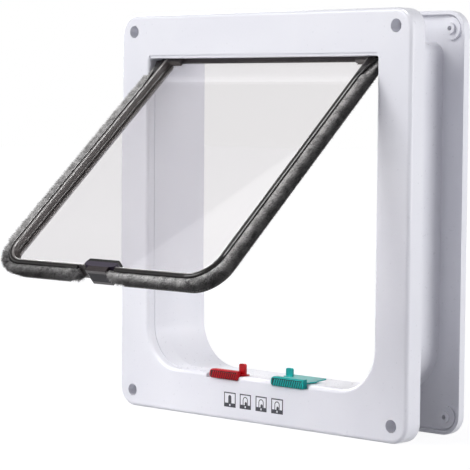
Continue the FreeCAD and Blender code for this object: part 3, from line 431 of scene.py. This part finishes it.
def swept(name, word, profile, step, overhang=0.0):
    """A closed strip: a profile of (out, depth) mm points carried along the run, with a UV map of
    the run and the way round the profile."""
    shell = bmesh.new()
    uv = shell.loops.layers.uv.new("run")
    spots = list(run_points(word, step, overhang))
    rings = [[shell.verts.new(from_flap(x + out_x * out, depth, z + out_z * out))
              for out, depth in profile(at, spots[-1][4])]
             for x, z, out_x, out_z, at in spots]
    count = len(rings[0])
    for i in range(len(rings) - 1):
        for j in range(count):
            k = (j + 1) % count
            face = shell.faces.new((rings[i][j], rings[i][k], rings[i + 1][k], rings[i + 1][j]))
            corners = ((i, j), (i, j + 1), (i + 1, j + 1), (i + 1, j))
            for loop, (a, b) in zip(face.loops, corners):
                loop[uv].uv = (spots[a][4], b / count * GIRTH)
    shell.faces.new(rings[0][::-1])
    shell.faces.new(rings[-1])
    bmesh.ops.recalc_face_normals(shell, faces=shell.faces)
    mesh = bpy.data.meshes.new(name)
    shell.to_mesh(mesh)
    shell.free()
    piece = bpy.data.objects.new(name, mesh)
    SCENE.collection.objects.link(piece)
    return piece


def tape_profile(at, total):
    """The tape's section with its corners cut, a hair narrower here and there where the weave pulls
    its edges in."""
    low, high = SEAT_GAP, SEAT_GAP + TAPE_THICKNESS
    pull = abs(0.08 * math.sin(at * 1.7) + 0.05 * math.sin(at * 4.1 + 1))
    front, back = CHANNEL_FRONT + TAPE_INSET + pull, CHANNEL_BACK - TAPE_INSET - pull
    shoulder = high - TAPE_CUT_DOWN
    return [(low, front), (shoulder, front), (high, front + TAPE_CUT_IN),
            (high, back - TAPE_CUT_IN), (shoulder, back), (low, back)]


for word in SIDES:
    tape = swept(word + "_woven_tape", word, tape_profile, TAPE_STEP)
    tape.data.materials.append(TAPE)
    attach(tape, "flap")
    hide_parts(word + "_pile_backing")

# The bed of the pile, where fibres stand so close that they read as one body. It is the pile's
# section pulled in by what the free tips stand proud: (out, depth, shade) of each corner. The shade
# is painted light and shade: light where fibres are seen along their length, dark where their tips
# are seen end on.
BED = [(0.7, -4.2, 0.3), (2.9, -4.2, 0.9), (3.0, -5.0, 1.0), (5.0, -5.1, 0.85), (6.0, -4.4, 0.45),
       (5.8, -2.6, 0.2), (5.2, -0.6, 0.12), (4.5, 1.4, 0.1), (3.7, 3.0, 0.1), (0.7, 3.2, 0.1)]
BED_FOOT, BED_SHOULDER, BED_BACK = 0.7, 3.1, 0.5
# The two ends' size beside the rest, and over how many mm it would grow by as much again
END_SIZE, END_GROWTH, END_DEPTH = 0.62, 5, 0.8
# How long the lip's ear is, and how far forward the bed reaches beside it
EAR_RUN, EAR_FRONT = 15.0, -3.6
# Along the bottom the bed thins over one length and stays thin for another, lower at its back.
THIN_RUN, THIN_END, THIN_BACK, THINNING = 48.0, 20.0, 2.6, 0.45
# How far the right pile's end bulges past its tape, into the free corner beside the holder's foot
OVERHANG = {"left": 0.0, "right": 5.2}
# How far from the magnet holder the pile is crushed and fluffy, and how tall it is on the side
WORN_RUN = {"left": 34.0, "right": 9.0}
TALL = {"left": 1.45, "right": 1.0}
# Painted light on the side and round the corner: (least, how much the bed's shade adds). The left
# side is painted lighter, as it catches more light than the rest.
PAINTED_LIGHTNESS = {"left": ((0.2, 0.4), (0.08, 0.24)), "right": ((0.12, 1.5), (0.12, 1.0))}
# How far before the corner the change of painted light starts, and what wear adds
CORNER_LEAD, WORN_GAIN, WORN_BASE = 4, 0.75, 0.3


def worn(word, at, total):
    """0 where the pile is as new, up to 1 where it is crushed and fluffy."""
    return max(0.0, 1 - (total - at) / WORN_RUN[word])


def bed_profile(at, total):
    """The bed's section: cut back beside the ear, thinner along the bottom, its ends rounded."""
    near = total - at
    low_run = near < THIN_RUN + THIN_END
    thin = min(1.0, max(0.0, 1 - (near - THIN_END) / THIN_RUN)) if low_run else 0.0
    ends = min(1.0, END_SIZE + min(at, near) / END_GROWTH)
    swell = 1 + 0.03 * math.sin(at * 0.9) + 0.04 * math.sin(at * 0.37 + 2)
    for out, depth, shade in BED:
        if at < EAR_RUN:
            depth = max(depth, EAR_FRONT)
        if out > BED_SHOULDER:
            out = BED_SHOULDER + (out - BED_SHOULDER) * (1 - THINNING * thin) * swell
        if low_run and depth > BED_BACK:
            out = min(out, THIN_BACK)
        yield (BED_FOOT + (out - BED_FOOT) * ends,
               depth * (END_DEPTH + (1 - END_DEPTH) * ends), shade)


def pile_shade(word, at, total, shade):
    """Painted light and shade of the pile at a spot of the run, for a corner of the bed with its
    own shade, with the lightening of wear added.
    """
    turned = min(1.0, max(0.0, (at - SIDE_RUN + CORNER_LEAD) / (CORNER_RUN + CORNER_LEAD)))
    least, gain = (a + (b - a) * turned for a, b in zip(*PAINTED_LIGHTNESS[word]))
    return least + gain * shade + WORN_GAIN * worn(word, at, total) * (WORN_BASE + shade)


def bed_of_pile(word):
    """The bed, with the way its fibres point, their painted light and shade, how worn and how tall
    they are on each of its corners."""
    bed = swept(word + "_standing_pile", word,
                lambda at, total: [(out, depth) for out, depth, _ in bed_profile(at, total)],
                BED_STEP, OVERHANG[word])
    spots = list(run_points(word, BED_STEP, OVERHANG[word]))
    total = spots[-1][4]
    ways, shades, wears, talls = [], [], [], []
    for _, _, out_x, out_z, at in spots:
        for _, depth, shade in bed_profile(at, total):
            # The front fibres lean forward, except beside the ear, and those behind lean back.
            forward = 0.16 if at > EAR_RUN else -0.1
            lean = -forward if depth < -3 else 0.12 * depth / 3
            tip = from_flap(out_x, lean, out_z) - from_flap(0, 0, 0)
            ways.append(tip.normalized())
            shades.append(pile_shade(word, at, total, shade))
            wears.append(worn(word, at, total))
            talls.append(TALL[word] if at < SIDE_RUN else 1.0)
    for item, way in zip(bed.data.attributes.new("fibre_way", "FLOAT_VECTOR", "POINT").data, ways):
        item.vector = way
    for label, values in (("shade", shades), ("wear", wears), ("tall", talls)):
        layer = bed.data.attributes.new(label, "FLOAT", "POINT")
        for item, value in zip(layer.data, values):
            item.value = value
    return bed


def fibre_tree():
    """Fibres scattered over a bed in rows across the run: each a three-sided spike that points the
    way stored on the bed. Density is fibres for a square metre, and the row pitch is in the UV
    map's mm."""
    tree = bpy.data.node_groups.new("pile_fibres", "GeometryNodeTree")
    face = tree.interface
    face.new_socket("Geometry", in_out="INPUT", socket_type="NodeSocketGeometry")
    for label, value in (("Density", 3.0e6), ("Row pitch", 1.1), ("Fibre length", 2.9 * MM),
                         ("Fibre radius", 0.15 * MM), ("Lean", 0.16), ("Worn lean", 0.9)):
        socket = face.new_socket(label, in_out="INPUT", socket_type="NodeSocketFloat")
        socket.default_value = value
    face.new_socket("Seed", in_out="INPUT", socket_type="NodeSocketInt").default_value = SEED
    face.new_socket("Fibre finish", in_out="INPUT", socket_type="NodeSocketMaterial")
    face.new_socket("Geometry", in_out="OUTPUT", socket_type="NodeSocketGeometry")
    given = add(tree, "NodeGroupInput").outputs
    stored = {label: add(tree, "GeometryNodeInputNamedAttribute", {"data_type": kind},
                         {"Name": label}).outputs[0]
              for label, kind in (("run", "FLOAT_VECTOR"), ("fibre_way", "FLOAT_VECTOR"),
                                  ("wear", "FLOAT"), ("tall", "FLOAT"))}

    # More points on the rows than between them
    along = add(tree, SPLIT, None, {0: stored["run"]}).outputs["X"]
    turns = add(tree, MATH, {"operation": "MULTIPLY"}, {0: along, 1: 2 * math.pi})
    phase = add(tree, MATH, {"operation": "DIVIDE"},
                {0: turns.outputs[0], 1: given["Row pitch"]})
    ripple = add(tree, MATH, {"operation": "SINE"}, {0: phase.outputs[0]})
    rows = add(tree, MAP, None, {"Value": ripple.outputs[0], "From Min": -1.0, "To Min": 0.25})
    crowd = add(tree, MATH, {"operation": "MULTIPLY"}, {0: given["Density"], 1: rows.outputs[0]})
    scatter = add(tree, "GeometryNodeDistributePointsOnFaces", {"distribute_method": "RANDOM"},
                  {"Mesh": given["Geometry"], "Density": crowd.outputs[0],
                   "Seed": given["Seed"]})

    # One fibre, with its UV map's height running from 0 at the root to 1 at the tip
    fibre = add(tree, "GeometryNodeMeshCone", {"fill_type": "NGON"},
                {"Vertices": 3, "Side Segments": 1, "Fill Segments": 1, "Radius Top": 0.0,
                 "Radius Bottom": given["Fibre radius"], "Depth": given["Fibre length"]})
    corner = add(tree, "GeometryNodeInputPosition").outputs[0]
    rise = add(tree, SPLIT, None, {0: corner}).outputs["Z"]
    share = add(tree, MATH, {"operation": "DIVIDE"}, {0: rise, 1: given["Fibre length"]})
    height = add(tree, "ShaderNodeCombineXYZ", None, {"Y": share.outputs[0]})
    marked = add(tree, "GeometryNodeStoreNamedAttribute",
                 {"data_type": "FLOAT2", "domain": "CORNER"},
                 {"Geometry": fibre.outputs["Mesh"], "Name": "run", "Value": height.outputs[0]})

    # Its lean, more where the pile is worn, and its size
    stray = add(tree, "FunctionNodeRandomValue", {"data_type": "FLOAT_VECTOR"},
                {"Min": (-1, -1, -1), "Max": (1, 1, 1), "Seed": given["Seed"]})
    looser = add(tree, MATH, {"operation": "MULTIPLY"},
                 {0: stored["wear"], 1: given["Worn lean"]})
    much = add(tree, MATH, {"operation": "ADD"}, {0: given["Lean"], 1: looser.outputs[0]})
    leaning = add(tree, "ShaderNodeVectorMath", {"operation": "SCALE"},
                  {0: stray.outputs[0], "Scale": much.outputs[0]})
    way = add(tree, "ShaderNodeVectorMath", {"operation": "ADD"},
              {0: stored["fibre_way"], 1: leaning.outputs[0]})
    turned = add(tree, "FunctionNodeAlignRotationToVector", {"axis": "Z"},
                 {"Vector": way.outputs[0]})
    size = add(tree, "FunctionNodeRandomValue", {"data_type": "FLOAT"},
               {2: 0.7, 3: 1.1, "Seed": given["Seed"]})
    scale = add(tree, MATH, {"operation": "MULTIPLY"}, {0: size.outputs[1], 1: stored["tall"]})
    planted = add(tree, "GeometryNodeInstanceOnPoints", None,
                  {"Points": scatter.outputs["Points"], "Instance": marked.outputs[0],
                   "Rotation": turned.outputs[0], "Scale": scale.outputs[0]})
    real = add(tree, "GeometryNodeRealizeInstances", None, {0: planted.outputs[0]})
    painted = add(tree, "GeometryNodeSetMaterial", None,
                  {"Geometry": real.outputs[0], "Material": given["Fibre finish"]})
    whole = add(tree, "GeometryNodeJoinGeometry", None, {0: given["Geometry"]})
    # The join takes a second geometry on the same input.
    feed(tree, whole, {0: painted.outputs[0]})
    add(tree, "NodeGroupOutput", None, {0: whole.outputs[0]})
    return tree


FIBRES = fibre_tree()


def grow(piece, **values):
    """Run the fibre tree on a piece and keep the result as a plain mesh."""
    modifier = piece.modifiers.new("fibres", "NODES")
    modifier.node_group = FIBRES
    sockets = {item.name: item.identifier for item in FIBRES.interface.items_tree
               if item.item_type == "SOCKET" and item.in_out == "INPUT"}
    for label, value in values.items():
        modifier[sockets[label.replace("_", " ")]] = value
    graph = bpy.context.evaluated_depsgraph_get()
    mesh = bpy.data.meshes.new_from_object(piece.evaluated_get(graph),
                                           preserve_all_data_layers=True, depsgraph=graph)
    piece.modifiers.remove(modifier)
    bed = piece.data
    piece.data = mesh
    bpy.data.meshes.remove(bed)
    mesh.name = piece.name


for word, side in SIDES.items():
    pile = bed_of_pile(word)
    pile.data.materials.append(PILE_BED)
    grow(pile, Density=1.22e7, Seed=SEED + side, Fibre_finish=PILE)
    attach(pile, "flap")
    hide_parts(word + "_pile")

# ---------------------------------------------------------------- printed pictograms
# Four plain pictograms of the locks: a dark field with a white window, a dark bar with a white dot
# below it, and doorways in the window. Each layer of ink lies a little above the one under it.
PRINT_LIFT = 0.02
PRINT_LOW, PRINT_HIGH = -116.9, -107.7
PRINT_SPANS = ((-25.2, -15.4), (-12.0, -2.7), (1.1, 10.2), (13.9, 23.4))
BAR_TOP, FIELD_EDGE = PRINT_LOW + 2.5, 0.75
DOT_HALF, DOT_LOW, DOT_HIGH = 0.5, PRINT_LOW + 0.8, PRINT_LOW + 1.9
# The doorways: half their width and their head's height. The first pictogram's is solid.
SOLID_DOOR, OPEN_DOOR, DOOR_WALL = (1.3, PRINT_HIGH - 1.7), (2.1, PRINT_HIGH - 1.6), 0.6
FLAP_SHIFT, FLAP_HALF, FLAP_HEAD = 0.5, 0.9, BAR_TOP + 2.0
ARCH_STEPS = 8


def flat_shape(shell, points, layer, index):
    """A flat patch of ink on the front frame's face, through (x, z) mm points that run
    anticlockwise, so that it faces outwards."""
    face = shell.faces.new([shell.verts.new(Vector((x, -layer * PRINT_LIFT, z)) * MM)
                            for x, z in points])
    face.material_index = index


def box_points(x0, x1, z0, z1):
    """A rectangle's corners."""
    return [(x0, z0), (x1, z0), (x1, z1), (x0, z1)]


def arch_points(middle, half, head):
    """A doorway outline on the bar: straight sides with a round head."""
    points = [(middle - half, BAR_TOP), (middle + half, BAR_TOP)]
    for i in range(ARCH_STEPS + 1):
        angle = math.pi * i / ARCH_STEPS
        points.append((middle + half * math.cos(angle), head - half + half * math.sin(angle)))
    return points


printed = bpy.data.objects.new("printed_pictograms", bpy.data.meshes.new("printed_pictograms"))
SCENE.collection.objects.link(printed)
DARK, LIGHT = 0, 1
shell = bmesh.new()
for number, (x0, x1) in enumerate(PRINT_SPANS):
    middle = (x0 + x1) / 2
    flat_shape(shell, box_points(x0, x1, PRINT_LOW, PRINT_HIGH), 1, DARK)
    flat_shape(shell, box_points(x0 + FIELD_EDGE, x1 - FIELD_EDGE, BAR_TOP,
                                 PRINT_HIGH - FIELD_EDGE), 2, LIGHT)
    flat_shape(shell, box_points(middle - DOT_HALF, middle + DOT_HALF, DOT_LOW, DOT_HIGH),
               2, LIGHT)
    half, head = OPEN_DOOR if number else SOLID_DOOR
    flat_shape(shell, arch_points(middle, half, head), 3, DARK)
    if number:
        flat_shape(shell, arch_points(middle, half - DOOR_WALL, head - DOOR_WALL), 4, LIGHT)
        flat_shape(shell, arch_points(middle + FLAP_SHIFT, FLAP_HALF, FLAP_HEAD), 5, DARK)
shell.to_mesh(printed.data)
shell.free()
printed.data.materials.append(INK_DARK)
printed.data.materials.append(INK_LIGHT)
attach(printed, "frame")

# ---------------------------------------------------------------- floor and backdrop
FLOOR_HEIGHT, FLOOR_REACH = -0.125, 6.0
# The floor's own glow near the object and far from it, and the two distances
GLOW_NEAR, GLOW_FAR, GLOW_START, GLOW_END = 0.89, 0.965, 0.4, 2.0
# The backdrop's brightness overhead, and where it dims, as the upward part of the direction
CEILING, BACKDROP_TOP, CEILING_START = 0.2, 0.42, 0.62
# The light all round, level and overhead
FILL, FILL_OVERHEAD = 0.6, 0.28
PURE_WHITE = (1, 1, 1, 1)


def any_ray(tree):
    """1 for the rays that show the background itself: camera, glossy and transmission rays."""
    path = add(tree, "ShaderNodeLightPath").outputs
    shows = path["Is Camera Ray"]
    for label in ("Is Glossy Ray", "Is Transmission Ray"):
        shows = add(tree, MATH, {"operation": "MAXIMUM"}, {0: shows, 1: path[label]}).outputs[0]
    return shows


def pale_floor():
    """Pale paper: shown near white, with the object's shadow kept. It glows a little more away from
    the object, where less of the lamps' light falls, so that it stays one even white."""
    material = bpy.data.materials.new("pale_floor")
    material.use_nodes = True
    tree = material.node_tree
    tree.nodes.clear()
    paper = add(tree, "ShaderNodeBsdfDiffuse", None, {"Color": linear("#b4b4b8")})
    faint = add(tree, "ShaderNodeBsdfDiffuse", None, {"Color": linear("#727276")})
    spot = add(tree, "ShaderNodeTexCoord").outputs["Object"]
    reach = add(tree, "ShaderNodeVectorMath", {"operation": "LENGTH"}, {0: spot})
    strength = add(tree, MAP, None,
                   {"Value": reach.outputs["Value"], "From Min": GLOW_START,
                    "From Max": GLOW_END, "To Min": GLOW_NEAR, "To Max": GLOW_FAR})
    glow = add(tree, "ShaderNodeEmission", None,
               {"Color": PURE_WHITE, "Strength": strength.outputs[0]})
    shown = add(tree, "ShaderNodeAddShader", None, {0: faint.outputs[0], 1: glow.outputs[0]})
    either = add(tree, "ShaderNodeMixShader", None,
                 {0: any_ray(tree), 1: paper.outputs[0], 2: shown.outputs[0]})
    add(tree, "ShaderNodeOutputMaterial", None, {0: either.outputs[0]})
    return material


floor_mesh = bpy.data.meshes.new("floor")
floor_mesh.from_pydata([(x * FLOOR_REACH, y * FLOOR_REACH, FLOOR_HEIGHT)
                        for x, y in ((-1, -1), (1, -1), (1, 1), (-1, 1))], [], [(0, 1, 2, 3)])
floor = bpy.data.objects.new("floor", floor_mesh)
floor.data.materials.append(pale_floor())
SCENE.collection.objects.link(floor)

# White all round for the camera, and in gloss white up to the top of the backdrop and dim overhead
# like a studio's ceiling
world = bpy.data.worlds.new("studio")
SCENE.world = world
world.use_nodes = True
air = world.node_tree
air.nodes.clear()
toward = add(air, "ShaderNodeTexCoord").outputs["Generated"]
upward = add(air, SPLIT, None, {0: toward}).outputs["Z"]
seen = add(air, "ShaderNodeLightPath").outputs["Is Camera Ray"]
overhead = add(air, MAP, None, {"Value": upward, "From Min": BACKDROP_TOP,
                                "From Max": CEILING_START, "To Min": 1.0, "To Max": CEILING})
strength = add(air, MATH, {"operation": "MAXIMUM"}, {0: overhead.outputs[0], 1: seen})
backdrop = add(air, "ShaderNodeBackground", None,
               {"Color": PURE_WHITE, "Strength": strength.outputs[0]})
softness = add(air, MAP, None, {"Value": upward, "From Max": 0.8,
                                "To Min": FILL, "To Max": FILL_OVERHEAD})
fill = add(air, "ShaderNodeBackground", None,
           {"Color": linear("#f2f3fa"), "Strength": softness.outputs[0]})
mixed = add(air, "ShaderNodeMixShader", None,
            {0: any_ray(air), 1: fill.outputs[0], 2: backdrop.outputs[0]})
add(air, "ShaderNodeOutputWorld", None, {0: mixed.outputs[0]})


# ---------------------------------------------------------------- lamps
def lamp(name, place, target, size, watts, edge=(1, 0, 0), lights_surfaces=True):
    """A soft square lamp that looks at a target, with one pair of its edges along the direction
    given. Where lights_surfaces is off it only shows in gloss, as a card beside a glossy object
    does."""
    light = bpy.data.lights.new(name, "AREA")
    light.shape = "SQUARE"
    light.size = size
    light.energy = watts
    body = bpy.data.objects.new(name, light)
    back = (Vector(place) - Vector(target)).normalized()
    up = back.cross(Vector(edge)).normalized()
    turn = Matrix((up.cross(back), up, back)).transposed()
    body.matrix_world = Matrix.Translation(place) @ turn.to_4x4()
    body.visible_diffuse = lights_surfaces
    SCENE.collection.objects.link(body)


FLAP_EDGE = (-0.02, -0.07, 0.02)
lamp("front_softbox", (-0.75, -1.4, 0.9), (0, 0, 0.03), size=1.0, watts=25)
lamp("right_softbox", (1.9, 0.7, 0.42), (0.1, 0, 0), size=1.2, watts=26)
# This one shows in the clear panel as the lighter part at its lower right, with a slanted edge.
lamp("left_card", (-0.80, -0.42, 1.355), (-0.119, -0.45, 0.624), size=1.0, watts=1.7,
     edge=(0.572, 0.644, 0.507), lights_surfaces=False)
# These lighten the rounded lip along its left side and lower edge.
lamp("back_card", (-1.32, 0.56, 0.425), FLAP_EDGE, size=0.5, watts=12, lights_surfaces=False)
lamp("back_high_card", (-1.12, 0.68, 0.7), FLAP_EDGE, size=0.5, watts=9, lights_surfaces=False)
# This one draws the lighter line between the rim and the pile on the right.
lamp("top_card", (0.15, -0.2, 1.3), (0.05, -0.06, 0.02), size=0.5, watts=20,
     lights_surfaces=False)

# ---------------------------------------------------------------- camera
# The camera of the photograph: where it stands, which way it looks, and its lens
CAMERA_PLACE = Vector((835.92, -918.65, 68.98)) * MM
CAMERA_YAW, CAMERA_DIP, CAMERA_ROLL = (math.radians(a) for a in (42.88, 3.63, 0.48))
FOCAL_PIXELS, IMAGE_PIXELS, SENSOR_WIDTH = 2054.0, 470.0, 36.0
look = Vector((-math.sin(CAMERA_YAW) * math.cos(CAMERA_DIP),
               math.cos(CAMERA_YAW) * math.cos(CAMERA_DIP), -math.sin(CAMERA_DIP)))
flat_right = Vector((math.cos(CAMERA_YAW), math.sin(CAMERA_YAW), 0))
flat_up = flat_right.cross(look)
right = math.cos(CAMERA_ROLL) * flat_right + math.sin(CAMERA_ROLL) * flat_up
up = -math.sin(CAMERA_ROLL) * flat_right + math.cos(CAMERA_ROLL) * flat_up
eye = bpy.data.cameras.new("camera")
eye.sensor_width = SENSOR_WIDTH
eye.lens = FOCAL_PIXELS / IMAGE_PIXELS * SENSOR_WIDTH
eye.clip_start, eye.clip_end = 0.05, 50
camera = bpy.data.objects.new("camera", eye)
camera.matrix_world = (Matrix.Translation(CAMERA_PLACE)
                       @ Matrix((right, up, -look)).transposed().to_4x4())
SCENE.collection.objects.link(camera)
SCENE.camera = camera
SCENE.view_settings.view_transform = "Standard"
